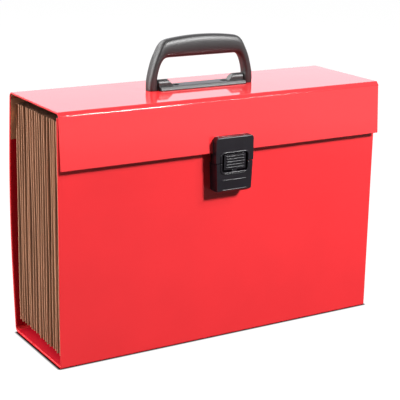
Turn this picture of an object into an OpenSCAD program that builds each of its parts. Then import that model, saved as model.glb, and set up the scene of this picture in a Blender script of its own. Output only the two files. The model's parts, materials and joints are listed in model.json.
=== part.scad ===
// Expanding file box: a folded board cover with a lid and a front flap, round a kraft concertina
// of index pockets, with a folding carrying handle on the lid and a push-down latch in front.
// The origin is in the middle of the underside, between the front and back boards.
// +X is to the right, +Y to the back and +Z up.

/* [Cover] */
// Width of the cover, left to right
case_w = 385; // [320:1:420]
// Depth of the closed body over its front and back boards
case_d = 119; // [110:1:130]
// Height from the floor to the top of the lid
case_h = 264; // [240:1:320]
// Thickness of the cover boards
board_t = 2.2; // [1.8:0.1:2.6]
// Thickness of the lining paper
paper_t = 0.3; // [0.2:0.05:0.4]
// Reach of the lid's front crease from the outer corner
crease_leg = 4.5; // [4:0.1:6]
// Reach of the two rear creases from the outer corners
rear_leg = 6; // [5:0.1:7]
// How far the back board bulges out at mid height
back_bow = 7; // [0:0.5:9]
// Gap between a board's end and the crease beside it
board_gap = 0.2; // [0.1:0.05:0.4]
// How far the front board stops below the top of the lid
front_drop = 5.5; // [5:0.5:8]
// How far the lid reaches past the front board
lid_over = 4; // [3.5:0.1:7]
// Height of the flap below the top of the lid
flap_h = 57; // [53:1:75]
// Angle at which the closed flap leans out from the front
flap_lean = 3.6; // [3:0.2:6]
// How far the brown lining comes down the inside of the back
lining_drop = 51; // [30:1:80]
// How far a lining stops inside the edge of its board
lining_edge = 1; // [0.5:0.1:3]

/* [Pockets] */
// Number of index pockets
pocket_count = 19; // [19:1:19]
// Thickness of a divider
divider_t = 0.5; // [0.3:0.05:0.8]
// Thickness of the pleated gusset card
gusset_t = 0.4; // [0.3:0.05:0.5]
// How far the gusset's folds stand back from the ends of the cover
gusset_inset = 3.5; // [2:0.5:10]
// Depth of the gusset's pleats
pleat_depth = 18; // [14:0.5:22]
// Height of the gussets' lower edge above the floor
gusset_foot = 10; // [6:0.5:16]
// Gap from the top of the lid down to the top of the gusset
gusset_drop = 11.5; // [10:0.5:20]
// Gap from the top of the lid down to the tops of the index tabs
tab_drop = 9; // [7:0.5:10]
// Height of an index tab above its divider
tab_h = 11; // [8:0.5:13]
// Width of an index tab
tab_w = 50; // [36:1:52]
// Number of tab places across the width
tab_places = 6; // [4:1:6]
// Clearance between soft pieces that move past each other
soft_gap = 0.3; // [0.2:0.05:0.4]

/* [Handle] */
// Place of the handle in front of the lid's rear edge
handle_back = 60; // [56:0.5:64]
// Width over the handle's feet
handle_w = 127; // [125:1:140]
// Height of the grip's crown above the lid
handle_h = 55.5; // [53:0.5:57]
// Height of the hand opening above the lid
hand_h = 34; // [32:0.5:36]
// Half the width of the hand opening at its foot
hand_half = 54; // [50:0.5:54.5]
// Depth of the grip, front to back
grip_d = 14; // [12:0.5:16]
// Height of the pivot above the lid
pivot_h = 6.5; // [6.5:0.1:7]
// Radius of a leg's round foot
foot_r = 6; // [5:0.1:6]
// Radius of a pivot pin
pin_r = 1.95; // [1.5:0.05:2.2]
// Radial running clearance round a pivot pin
pin_gap = 0.05; // [0.03:0.01:0.08]
// Thickness of the handle base between its lugs
handle_base_t = 4; // [3.5:0.1:5]
// Depth of the handle base, front to back
handle_base_d = 21; // [18:0.5:26]
// Width of a lug along the pivot
lug_w = 12; // [10:0.5:13]
// Gap between a lug and the leg beside it
lug_gap = 1.7; // [1.5:0.1:2]
// Distance of a handle rivet from the middle
handle_rivet_x = 30; // [25:0.5:31]

/* [Latch] */
// Width of the upper latch part
hasp_w = 46.5; // [44:0.5:56]
// Height of the upper latch part
hasp_h = 27; // [25:0.5:30]
// Gap from the top of the lid down to the top of the latch
hasp_drop = 40; // [38:0.5:42]
// Width of the lower latch part
latch_w = 44; // [44:0.5:52]
// Height of the lower latch part
latch_h = 32; // [31:0.5:40]
// How far the latch stands out from the front board
latch_proud = 15; // [14:0.5:18]
// Radius of the latch's outer corners
latch_corner = 4; // [2:0.5:6]
// Bevel of the latch's top and bottom edges
latch_bevel = 2.2; // [1:0.2:3]
// Width of the window round the slider
window_w = 31; // [30:0.5:32]
// Height of the window
window_h = 19.5; // [19:0.5:21]
// How far the window reaches above the seam between the latch parts
window_rise = 9.5; // [9:0.25:11]
// Width of the raised rim round the window
rim_w = 2; // [1.5:0.1:2.5]
// Height of the raised rim
rim_h = 0.8; // [0.5:0.1:1.2]
// Width of the slider's thumb pad
pad_w = 26; // [22:0.5:27]
// Height of the slider's thumb pad
pad_h = 16.5; // [16:0.25:16.5]
// Distance that the slider travels
slider_travel = 2; // [1.5:0.25:2]
// Number of ribs on the thumb pad
rib_count = 5; // [3:1:6]
// Clearance between the latch's sliding parts
slide_gap = 0.2; // [0.15:0.05:0.3]
// Mean radius of the slider's spring
spring_r = 1.9; // [1.6:0.05:2]
// Radius of the spring wire
spring_wire_r = 0.35; // [0.25:0.05:0.4]
// Number of turns of the spring
spring_turns = 8; // [6:1:9]

/* [Rivets] */
// Radius of the rivet shanks
rivet_r = 1.6; // [1.2:0.1:1.8]
// Radius of the rivet heads
rivet_head_r = 2.8; // [2.4:0.1:3.2]
// Thickness of the backing plates
plate_t = 0.8; // [0.6:0.05:0.9]
// Thickness of a rivet's head on a backing plate
rivet_head_t = 0.3; // [0.2:0.05:0.4]

/* [Hidden] */
$fn = 48;
corner_steps = 6;
over = 1;
fine_gap = 0.02;
crease_seat = 0.35;
bow_steps = 16;

half_w = case_w / 2;
back_y = case_d / 2;
front_y = -case_d / 2;
lid_y = front_y - lid_over;
axis_in = crease_leg / 2;
rear_in = rear_leg / 2;
rear_axis = [back_y - rear_in, case_h - rear_in];
front_axis = [lid_y + axis_in, case_h - axis_in];
toe_axis = [front_y + board_t / 2, board_t / 2];
lid_end_y = back_y - rear_leg - board_gap;
back_top = case_h - rear_leg - board_gap;
flap_len = (flap_h - crease_leg) / cos(flap_lean);
front_top = case_h - front_drop;
lining_half = half_w - lining_edge;

fold_x = half_w - gusset_inset;
leaf_half = fold_x - pleat_depth;
leaf_back = back_y - board_t - 2 * paper_t;
leaf_front = front_y + board_t + 2 * paper_t;
pitch = (leaf_back - leaf_front - soft_gap) / pocket_count;
fold_across = gusset_t * sqrt(pow(pitch / 2, 2) + pow(pleat_depth, 2)) / (pitch / 2);
tab_edge = 4;
tab_corner = 2;
leaf_foot = rear_leg + soft_gap;
gusset_top = case_h - gusset_drop;
tab_top = case_h - tab_drop;
divider_top = tab_top - tab_h;
divider_half = leaf_half - soft_gap;
flange_in = 1;
flange_seat = 0.15;

handle_y = back_y - handle_back;
pivot_z = case_h + pivot_h;
lug_out = hand_half - lug_gap;
lug_in = lug_out - lug_w;
lug_shoulder_h = 2;
lug_r = pivot_h - lug_shoulder_h;
lug_slope = 6;
pin_reach = 9;
pin_in = lug_out - pin_reach;
pin_out = lug_out + pin_reach;
leg_foot_h = 9;
leg_knee = [6.7, 33];
shoulder_in = 16;
leg_round = [20, 50, 7];
crown_r = 240;
crown_steps = 24;
hand_corner = 8;
hand_taper = 3.7;
leg_straight_h = 14;
grip_edge = 5;
leg_widen_h = 24;
base_rim_t = 1.2;
rivet_well_t = 1.4;
handle_plate = [92, 18];

hasp_top = case_h - hasp_drop;
seam_z = hasp_top - hasp_h;
latch_face = front_y - latch_proud;
latch_foot = seam_z - latch_h;
window_top = seam_z + window_rise;
window_foot = window_top - window_h;
channel_y = latch_face + 6.8;
pad_foot = window_foot + slider_travel;
rail_w = 3.4;
rail_h = 3.5;
rail_y = latch_face + 4.8;
rail_t = 1.8;
neck_gap = 1;
rib_sink = 0.3;
rib_share = 0.38;
plinth_h = 8;
plinth_t = 6.6;
plinth_inset = 1;
spring_y = latch_face + 3.8;
spring_foot = latch_foot + 7;
spring_seat = 0.25;
latch_plate = [46, 22];
latch_rivet_x = 18;
latch_rivet_z = seam_z - 16;
hasp_rivet_x = 17;
hasp_top_len = (hasp_drop - crease_leg) / cos(flap_lean);
hasp_rivet_z = -(hasp_top_len + flap_len) / 2;
hasp_plate_half = (flap_len - hasp_top_len) / 2 - 2;
rivet_socket = 4;
ridge_drops = [12, 18];
ridge_half = 14;
ridge_t = 0.5;

red = "#e8343c";
dark_red = "#8a0f1c";
kraft = "#a8805f";
black = "#2b2a2d";
steel = "#b8bcc0";

// Outlines

// Points of a quarter circle that starts at an angle
function corner(cx, cy, r, start) = [for (i = [0:corner_steps])
    let (a = start + 90 * i / corner_steps) [cx + r * cos(a), cy + r * sin(a)]];

// Points that round the corner b of the path a, b, c
function fillet(a, b, c, r) = let (
    u = (a - b) / norm(a - b), v = (c - b) / norm(c - b), half = acos(u * v) / 2,
    centre = b + (u + v) / norm(u + v) * r / sin(half),
    first = b + u * r / tan(half) - centre, last = b + v * r / tan(half) - centre)
    [for (i = [0:corner_steps]) let (p = first * (corner_steps - i) + last * i) centre + r * p / norm(p)];

// Points of a rectangle with round corners
function round_box(x0, y0, x1, y1, r) = concat(
    corner(x1 - r, y1 - r, r, 0), corner(x0 + r, y1 - r, r, 90),
    corner(x0 + r, y0 + r, r, 180), corner(x1 - r, y0 + r, r, 270));

// An outline in X and Z, made a slab that reaches forward from a plane
module front_slab(points, y_back, t) {
    translate([0, y_back, 0]) rotate([90, 0, 0]) linear_extrude(t) polygon(points);
}

// A box from its lowest to its highest corner
module span(low, high) {
    translate(low) cube(high - low);
}

// A rod along X round a point in Y and Z
module rod_x(x0, x1, axis, r) {
    translate([x0, axis[0], axis[1]]) rotate([0, 90, 0]) cylinder(r = r, h = x1 - x0);
}

// A rod along Y
module rod_y(x, z, y0, y1, r) {
    translate([x, y1, z]) rotate([90, 0, 0]) cylinder(r = r, h = y1 - y0);
}

// The leaning flap's own frame: its outer face at Y = 0, its top at Z = 0
module flap_frame() {
    translate([0, lid_y, case_h - crease_leg]) rotate([-flap_lean, 0, 0]) children();
}

// Both sides of the middle
module both_sides() {
    children();
    mirror([1, 0, 0]) children();
}

// How far the back bulges out at heights up the board
bow_line = [for (i = [0:bow_steps])
    [rear_leg + (back_top - rear_leg) * i / bow_steps, back_bow * sin(180 * i / bow_steps)]];

// Points in Y and Z up the bulging back between two heights, a distance behind its chord
function bowed(y, z0, z1) = [for (z = concat([z0], [for (step = bow_line) step[0]], [z1]))
    if (z >= z0 && z <= z1) [y + lookup(z, bow_line), z]];

// The same chain from its other end
function reversed(chain) = [for (i = [len(chain) - 1:-1:0]) chain[i]];

// A sheet that follows the bulging back, forward of a face at Y at the board's two ends
module back_layer(half, y, z0, z1, t) {
    translate([-half, 0, 0]) rotate([90, 0, 90]) linear_extrude(2 * half)
        polygon(concat(bowed(y, z0, z1), reversed(bowed(y - t, z0, z1))));
}

// Boards and creases of the cover

module back_panel() {
    color(red) back_layer(half_w, back_y, rear_leg, back_top, board_t);
}

module base_panel() {
    color(red) span([-half_w, front_y + board_t + board_gap, 0], [half_w, back_y - rear_leg, board_t]);
}

module rear_bottom_crease() {
    color(red) intersection() {
        difference() {
            rod_x(-half_w, half_w, [back_y - rear_leg, rear_leg], rear_leg);
            rod_x(-half_w - over, half_w + over, [back_y - rear_leg, rear_leg], rear_leg - board_t);
        }
        span([-half_w, back_y - rear_leg, 0], [half_w, back_y, rear_leg]);
    }
}

module rear_top_crease() {
    color(red) rod_x(-half_w, half_w, rear_axis, rear_in - crease_seat);
}

module front_bottom_crease() {
    color(red) rod_x(-half_w, half_w, toe_axis, board_t / 2);
}

module front_top_crease() {
    color(red) rod_x(-half_w, half_w, front_axis, axis_in - crease_seat);
}

module front_panel() {
    color(red) difference() {
        span([-half_w, front_y, board_t + board_gap], [half_w, front_y + board_t, front_top]);
        latch_plate_space(front_y + board_t, plate_t + rivet_head_t);
        both_sides()
            rod_y(latch_rivet_x, latch_rivet_z, front_y - over, front_y + board_t, rivet_r + fine_gap);
    }
}

module latch_plate_space(y_inner, t) {
    span([-latch_plate[0] / 2, y_inner - t, latch_rivet_z - latch_plate[1] / 2],
        [latch_plate[0] / 2, y_inner, latch_rivet_z + latch_plate[1] / 2]);
}

module lid_panel() {
    color(red) difference() {
        span([-half_w, lid_y + crease_leg, case_h - board_t], [half_w, lid_end_y, case_h]);
        handle_plate_space(plate_t + rivet_head_t);
        both_sides() translate([handle_rivet_x, handle_y, case_h - board_t])
            cylinder(r = rivet_r + fine_gap, h = board_t + over);
    }
}

module handle_plate_space(t) {
    span([-handle_plate[0] / 2, handle_y - handle_plate[1] / 2, case_h - board_t],
        [handle_plate[0] / 2, handle_y + handle_plate[1] / 2, case_h - board_t + t]);
}

module flap_panel() {
    color(red) difference() {
        flap_frame() span([-half_w, 0, -flap_len], [half_w, board_t, 0]);
        flap_frame() hasp_plate_space(plate_t + rivet_head_t);
        flap_frame() both_sides()
            rod_y(hasp_rivet_x, hasp_rivet_z, -over, board_t, rivet_r + fine_gap);
    }
}

module hasp_plate_space(t) {
    span([-latch_plate[0] / 2, board_t - t, hasp_rivet_z - hasp_plate_half],
        [latch_plate[0] / 2, board_t, hasp_rivet_z + hasp_plate_half]);
}

// Linings

module lid_lining() {
    color(kraft) span([-lining_half, lid_y + crease_leg + lining_edge, case_h - board_t - paper_t],
        [lining_half, lid_end_y - lining_edge, case_h - board_t]);
}

module back_lining() {
    color(kraft) back_layer(lining_half, back_y - board_t, case_h - lining_drop, back_top - lining_edge,
        paper_t);
}

module back_turn_in() {
    color(dark_red) back_layer(lining_half, back_y - board_t, rear_leg, case_h - lining_drop, paper_t);
}

module base_lining() {
    color(dark_red) span([-lining_half, front_y + board_t + paper_t + 2 * board_gap, board_t],
        [lining_half, back_y - rear_leg, board_t + paper_t]);
}

module front_lining() {
    color(dark_red) span([-lining_half, front_y + board_t, board_t + board_gap + lining_edge],
        [lining_half, front_y + board_t + paper_t, front_top - lining_edge]);
}

module flap_lining() {
    color(kraft) flap_frame() span([-lining_half, board_t, -flap_len + lining_edge],
        [lining_half, board_t + paper_t, -lining_edge]);
}

// Concertina

module back_leaf() {
    color(kraft) back_layer(leaf_half, leaf_back + paper_t, leaf_foot, gusset_top, paper_t);
}

module front_leaf() {
    color(kraft) span([-leaf_half, leaf_front - paper_t, leaf_foot], [leaf_half, leaf_front, gusset_top]);
}

// One chain of fold points, valleys at the dividers and peaks between them
function folds(shift) = [for (i = [0:2 * pocket_count])
    [(i % 2 == 0 ? leaf_half : fold_x - fold_across) + shift, leaf_back - i * pitch / 2]];

// A pleated wall, with a flange from its rear end to the bulging back
module gusset_right() {
    flange_y = leaf_back - flange_seat;
    color(kraft) union() {
        translate([0, 0, gusset_foot]) linear_extrude(gusset_top - gusset_foot)
            polygon(concat(folds(0), reversed(folds(fold_across))));
        translate([leaf_half + flange_in, 0, 0]) rotate([90, 0, 90]) linear_extrude(gusset_t)
            polygon(concat(bowed(leaf_back + paper_t, gusset_foot, gusset_top),
                [[flange_y, gusset_top], [flange_y, gusset_foot]]));
    }
}

module gusset_left() {
    mirror([1, 0, 0]) gusset_right();
}

// Middle of a divider's tab: the places step across the width from left to right
function tab_x(k) = let (step = (2 * divider_half - tab_w - 2 * tab_edge) / (tab_places - 1))
    -divider_half + tab_edge + tab_w / 2 + ((k - 1) % tab_places) * step;

module divider(k) {
    y = leaf_back - k * pitch + divider_t / 2;
    color(kraft) union() {
        front_slab([[-divider_half, leaf_foot], [divider_half, leaf_foot],
            [divider_half, divider_top], [-divider_half, divider_top]], y, divider_t);
        front_slab(round_box(tab_x(k) - tab_w / 2, divider_top - tab_h, tab_x(k) + tab_w / 2,
            tab_top, tab_corner), y, divider_t);
    }
}

// Handle

// A point of the crown's shallow arc
function crown(x) = [x, handle_h - x * x / (2 * crown_r)];

// Outline of the closed bail: two legs that lean in above their feet, under a low crown
module bail_outline() {
    half = handle_w / 2;
    shoulder = half - shoulder_in;
    foot = [half, leg_foot_h];
    knee = [half - leg_knee[0], leg_knee[1]];
    crown_end = shoulder - leg_round[2];
    right = concat([[half, 0]], fillet([half, 0], foot, knee, leg_round[0]),
        fillet(foot, knee, crown(shoulder), leg_round[1]),
        fillet(knee, crown(shoulder), crown(crown_end), leg_round[2]));
    middle = [for (i = [1:crown_steps - 1]) crown(crown_end * (1 - 2 * i / crown_steps))];
    polygon(concat(right, middle, reversed([for (point = right) [-point[0], point[1]]])));
}

// Outline of the hand opening: straight past the lugs, then narrower up to its round top corners
module hand_outline() {
    top_half = hand_half - hand_taper;
    right = corner(top_half - hand_corner, hand_h - hand_corner, hand_corner, 0);
    left = corner(hand_corner - top_half, hand_h - hand_corner, hand_corner, 90);
    polygon(concat([[hand_half, -over], [hand_half, leg_straight_h]], right, left,
        [[-hand_half, leg_straight_h], [-hand_half, -over]]));
}

// Side of the bail: a round foot that widens to the grip
module bail_side() {
    half = grip_d / 2;
    foot = [for (i = [0:2 * corner_steps]) let (a = 180 + 90 * i / corner_steps)
        [foot_r * cos(a), pivot_h + foot_r * sin(a)]];
    polygon(concat(foot, [[half, leg_widen_h]],
        corner(half - grip_edge, handle_h - grip_edge, grip_edge, 0),
        corner(grip_edge - half, handle_h - grip_edge, grip_edge, 90), [[-half, leg_widen_h]]));
}

module handle_grip() {
    color(black) difference() {
        translate([0, handle_y, case_h]) intersection() {
            translate([0, grip_d, 0]) rotate([90, 0, 0]) linear_extrude(2 * grip_d)
                difference() {
                    bail_outline();
                    hand_outline();
                }
            translate([-handle_w, 0, 0]) rotate([90, 0, 90]) linear_extrude(2 * handle_w) bail_side();
        }
        both_sides() rod_x(hand_half - over, pin_out + fine_gap, [handle_y, pivot_z], pin_r + fine_gap);
    }
}

module handle_pins() {
    color(steel) both_sides() rod_x(pin_in, pin_out, [handle_y, pivot_z], pin_r);
}

// Side of the handle base: a thin rim with a bevel up to the bar
module base_side() {
    half = handle_base_d / 2;
    bar_half = half - handle_base_t / 2;
    polygon([[-half, 0], [half, 0], [half, base_rim_t], [bar_half, handle_base_t],
        [-bar_half, handle_base_t], [-half, base_rim_t]]);
}

module lug() {
    intersection() {
        translate([lug_in - lug_slope, handle_y, case_h]) rotate([90, 0, 90])
            linear_extrude(lug_out - lug_in + lug_slope) union() {
                translate([0, pivot_h]) circle(r = lug_r);
                translate([-lug_r, 0]) square([2 * lug_r, pivot_h]);
            }
        translate([0, 0, case_h]) front_slab([[lug_in - lug_slope, 0], [lug_out, 0], [lug_out, handle_h],
            [lug_in, handle_h], [lug_in, pivot_h + lug_r], [lug_in - lug_slope, handle_base_t]],
            handle_y + grip_d, 2 * grip_d);
    }
}

module handle_base() {
    color(black) difference() {
        union() {
            translate([-lug_out, handle_y, case_h]) rotate([90, 0, 90])
                linear_extrude(2 * lug_out) base_side();
            both_sides() lug();
        }
        both_sides() rod_x(pin_in - pin_gap, lug_out + over, [handle_y, pivot_z], pin_r + pin_gap);
        both_sides() translate([handle_rivet_x, handle_y, case_h - over])
            cylinder(r = rivet_r + fine_gap, h = handle_base_t + 2 * over);
        both_sides() translate([handle_rivet_x, handle_y, case_h + handle_base_t - rivet_well_t])
            cylinder(r = rivet_head_r + slide_gap, h = rivet_well_t + over);
    }
}

module handle_rivets() {
    foot_z = case_h - board_t;
    well_z = case_h + handle_base_t - rivet_well_t;
    color(steel) both_sides() translate([handle_rivet_x, handle_y, 0]) {
        translate([0, 0, foot_z]) cylinder(r = rivet_r, h = well_z - foot_z);
        translate([0, 0, foot_z]) cylinder(r = rivet_head_r, h = rivet_head_t);
        translate([0, 0, well_z]) cylinder(r = rivet_head_r, h = rivet_well_t / 2);
    }
}

module handle_backing_plate() {
    color(steel) difference() {
        translate([0, 0, rivet_head_t]) handle_plate_space(plate_t);
        both_sides() translate([handle_rivet_x, handle_y, case_h - board_t])
            cylinder(r = rivet_r + fine_gap, h = board_t);
    }
}

// Latch

// Bevel along the front edge of the latch at a height
module bevel_cut(z) {
    side = sqrt(2) * latch_bevel;
    translate([-half_w, latch_face, z]) rotate([45, 0, 0])
        translate([0, -side / 2, -side / 2]) cube([case_w, side, side]);
}

module window_cut(depth) {
    front_slab(round_box(-window_w / 2, window_foot, window_w / 2, window_top, 3),
        latch_face + depth, depth + rim_h + over);
}

module rim(z0, z1) {
    grow = rim_w;
    intersection() {
        front_slab(round_box(-window_w / 2 - grow, window_foot - grow, window_w / 2 + grow,
            window_top + grow, 3 + grow), latch_face, rim_h);
        span([-case_w, latch_face - over, z0], [case_w, latch_face, z1]);
    }
}

module latch_hasp() {
    half = hasp_w / 2;
    outline = concat(corner(half - latch_corner, hasp_top - latch_corner, latch_corner, 0),
        corner(latch_corner - half, hasp_top - latch_corner, latch_corner, 90),
        [[-half, seam_z], [half, seam_z]]);
    color(black) difference() {
        union() {
            front_slab(outline, front_y - over, latch_proud - over);
            rim(seam_z, hasp_top);
        }
        flap_frame() span([-case_w, 0, -case_h], [case_w, case_d, 0]);
        window_cut(latch_proud);
        bevel_cut(hasp_top);
        flap_frame() both_sides() rod_y(hasp_rivet_x, hasp_rivet_z, -rivet_socket, over, rivet_r + fine_gap);
    }
}

// A rivet pair that runs back through a board to a plate let into its inner face
module board_rivets(x, z) {
    both_sides() {
        rod_y(x, z, -rivet_socket, board_t - rivet_head_t, rivet_r);
        rod_y(x, z, board_t - rivet_head_t, board_t, rivet_head_r);
    }
}

module hasp_rivets() {
    color(steel) flap_frame() board_rivets(hasp_rivet_x, hasp_rivet_z);
}

module hasp_backing_plate() {
    color(steel) flap_frame() difference() {
        translate([0, -rivet_head_t, 0]) hasp_plate_space(plate_t);
        both_sides() rod_y(hasp_rivet_x, hasp_rivet_z, -over, board_t + over, rivet_r + fine_gap);
    }
}

module latch_base() {
    half = latch_w / 2;
    top = seam_z - slide_gap;
    outline = concat([[half, top], [-half, top]],
        corner(latch_corner - half, latch_foot + latch_corner, latch_corner, 180),
        corner(half - latch_corner, latch_foot + latch_corner, latch_corner, 270));
    rail_half = pad_w / 2 + rail_w + slide_gap;
    color(black) difference() {
        union() {
            front_slab(outline, front_y, latch_proud);
            rim(latch_foot, top);
            for (drop = ridge_drops)
                span([-ridge_half, latch_face - ridge_t, seam_z - drop - ridge_t],
                    [ridge_half, latch_face, seam_z - drop + ridge_t]);
            span([plinth_inset - half, front_y - plinth_t, top - over],
                [half - plinth_inset, front_y, seam_z + plinth_h]);
        }
        window_cut(channel_y - latch_face);
        bevel_cut(latch_foot);
        span([-rail_half, rail_y - slide_gap, window_foot - slide_gap],
            [rail_half, rail_y + rail_t + slide_gap, pad_foot + rail_h + slide_gap]);
        translate([0, spring_y, spring_foot]) cylinder(r = spring_r + spring_wire_r + slide_gap,
            h = window_foot - spring_foot + over);
        both_sides()
            rod_y(latch_rivet_x, latch_rivet_z, front_y - rivet_socket, front_y + over, rivet_r + fine_gap);
    }
}

module latch_base_rivets() {
    color(steel) translate([0, front_y, 0]) board_rivets(latch_rivet_x, latch_rivet_z);
}

module latch_backing_plate() {
    color(steel) difference() {
        latch_plate_space(front_y + board_t - rivet_head_t, plate_t);
        both_sides() rod_y(latch_rivet_x, latch_rivet_z, front_y, front_y + board_t, rivet_r + fine_gap);
    }
}

module latch_slider() {
    half = pad_w / 2;
    pad_top = pad_foot + pad_h;
    rib_pitch = pad_h / (rib_count + 0.5);
    nose_h = window_top - pad_top - 2 * slide_gap;
    color(black) union() {
        front_slab(round_box(-half, pad_foot, half, pad_top, 1.5), channel_y - slide_gap,
            channel_y - slide_gap - latch_face - neck_gap);
        span([-half - rail_w, rail_y, pad_foot], [half + rail_w, rail_y + rail_t, pad_foot + rail_h]);
        for (i = [1:rib_count])
            rib(half - 1, pad_foot + i * rib_pitch, rib_pitch);
        span([-half / 2, rail_y, pad_top - over], [half / 2, rail_y + rail_t, pad_top + nose_h]);
    }
}

// One grip rib of the thumb pad, a rod sunk into the pad's face
module rib(half, z, spacing) {
    rod_x(-half, half, [latch_face + neck_gap + rib_sink, z], spacing * rib_share);
}

// Middle of the spring wire at a turn
function coil_point(turn, foot, rise) =
    [spring_r * cos(360 * turn), spring_r * sin(360 * turn), foot + rise * turn];

module latch_spring() {
    rings = 8;
    sides = 6;
    foot = spring_foot + spring_wire_r + spring_seat;
    rise = (pad_foot - spring_wire_r - spring_seat - foot) / spring_turns;
    count = rings * spring_turns;
    points = [for (i = [0:count]) let (a = 360 * i / rings, c = coil_point(i / rings, foot, rise))
        for (s = [0:sides - 1]) let (b = 360 * s / sides)
            c + spring_wire_r * [cos(b) * cos(a), cos(b) * sin(a), sin(b)]];
    skin = [for (i = [0:count - 1]) for (s = [0:sides - 1]) let (n = (s + 1) % sides)
        for (face = [[i * sides + s, i * sides + n, (i + 1) * sides + n],
            [i * sides + s, (i + 1) * sides + n, (i + 1) * sides + s]]) face];
    last = count * sides;
    foot_cap = [for (s = [1:sides - 2]) [0, s + 1, s]];
    top_cap = [for (s = [1:sides - 2]) [last, last + s, last + s + 1]];
    color(steel) translate([0, spring_y, 0]) polyhedron(points, concat(skin, foot_cap, top_cap));
}

back_panel();
base_panel();
front_panel();
lid_panel();
flap_panel();
rear_bottom_crease();
rear_top_crease();
front_bottom_crease();
front_top_crease();
lid_lining();
back_lining();
back_turn_in();
base_lining();
front_lining();
flap_lining();
back_leaf();
front_leaf();
gusset_left();
gusset_right();
divider(1);  // divider_01
divider(2);  // divider_02
divider(3);  // divider_03
divider(4);  // divider_04
divider(5);  // divider_05
divider(6);  // divider_06
divider(7);  // divider_07
divider(8);  // divider_08
divider(9);  // divider_09
divider(10);  // divider_10
divider(11);  // divider_11
divider(12);  // divider_12
divider(13);  // divider_13
divider(14);  // divider_14
divider(15);  // divider_15
divider(16);  // divider_16
divider(17);  // divider_17
divider(18);  // divider_18
handle_grip();
handle_pins();
handle_base();
handle_rivets();
handle_backing_plate();
latch_hasp();
hasp_rivets();
hasp_backing_plate();
latch_base();
latch_base_rivets();
latch_backing_plate();
latch_slider();
latch_spring();
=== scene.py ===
"""Expanding file box: the visible surfaces, built round the packed frame.

A folded board cover wrapped in gloss-laminated paper, a kraft concertina of index pockets, a
moulded carrying handle on the lid and a push-down latch in front. Lengths are in metres. X runs to
the right along the front, Y towards the back and Z up.
"""

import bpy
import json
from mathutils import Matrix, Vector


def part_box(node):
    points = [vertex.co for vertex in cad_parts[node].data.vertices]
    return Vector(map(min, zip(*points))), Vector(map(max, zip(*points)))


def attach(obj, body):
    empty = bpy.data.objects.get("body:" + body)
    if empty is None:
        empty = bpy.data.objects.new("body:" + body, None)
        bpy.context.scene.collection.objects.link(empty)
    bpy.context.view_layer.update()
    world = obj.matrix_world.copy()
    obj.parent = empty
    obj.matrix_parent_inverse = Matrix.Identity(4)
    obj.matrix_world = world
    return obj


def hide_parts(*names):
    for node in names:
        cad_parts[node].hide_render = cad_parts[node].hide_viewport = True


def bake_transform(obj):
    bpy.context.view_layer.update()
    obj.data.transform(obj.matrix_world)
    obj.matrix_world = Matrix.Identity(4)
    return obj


bl_info = {
    "name": "Expanding File Box",
    "version": (1, 0, 0),
    "blender": (4, 5, 0),
    "location": "View3D > Sidebar > File Box",
    "description": "Builds a board file box with a concertina, a carrying handle and a latch",
    "category": "Add Mesh",
}

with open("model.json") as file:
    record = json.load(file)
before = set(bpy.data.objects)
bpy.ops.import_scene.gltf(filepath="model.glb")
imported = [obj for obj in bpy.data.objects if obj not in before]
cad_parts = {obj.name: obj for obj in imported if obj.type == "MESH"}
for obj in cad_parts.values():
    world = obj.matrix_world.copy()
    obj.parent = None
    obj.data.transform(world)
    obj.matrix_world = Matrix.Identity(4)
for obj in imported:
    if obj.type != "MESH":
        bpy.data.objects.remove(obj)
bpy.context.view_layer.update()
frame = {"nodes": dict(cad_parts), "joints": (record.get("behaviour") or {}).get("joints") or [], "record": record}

import json
import math
import random

import bmesh
import bpy
from bpy.props import FloatProperty, FloatVectorProperty, IntProperty, PointerProperty
from mathutils import Matrix, Vector

MM = 0.001
WELD = 1e-6
PHOTO_PIXELS = 400

BACK_LOW, BACK_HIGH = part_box("back_panel")
BASE_LOW, BASE_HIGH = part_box("base_panel")
FRONT_LOW, FRONT_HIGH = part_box("front_panel")
LID_LOW, LID_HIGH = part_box("lid_panel")
FLAP_LOW, FLAP_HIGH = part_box("flap_panel")
GUSSET_LOW, GUSSET_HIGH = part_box("gusset_right")
DIVIDER_LOW, DIVIDER_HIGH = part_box("divider_01")
HALF_WIDTH = LID_HIGH.x
BOARD = LID_HIGH.z - LID_LOW.z
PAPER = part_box("lid_lining")[1].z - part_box("lid_lining")[0].z
INSIDE = Vector((0, 0, LID_HIGH.z / 2))
BACK_FACE = BACK_LOW.y + BOARD
PIVOTS = {joint["name"]: Vector(joint["pos_m"]) for joint in frame["joints"] if "pos_m" in joint}
DIVIDERS = sorted(name for name in frame["nodes"] if name.startswith("divider_"))
POCKETS = len(DIVIDERS) + 1


def paint(code):
    """Linear colour of an sRGB hex code."""

    def channel(text):
        value = int(text, 16) / 255
        return value / 12.92 if value <= 0.04045 else ((value + 0.055) / 1.055) ** 2.4

    return (*(channel(code[i : i + 2]) for i in (0, 2, 4)), 1.0)


# Settings


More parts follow.
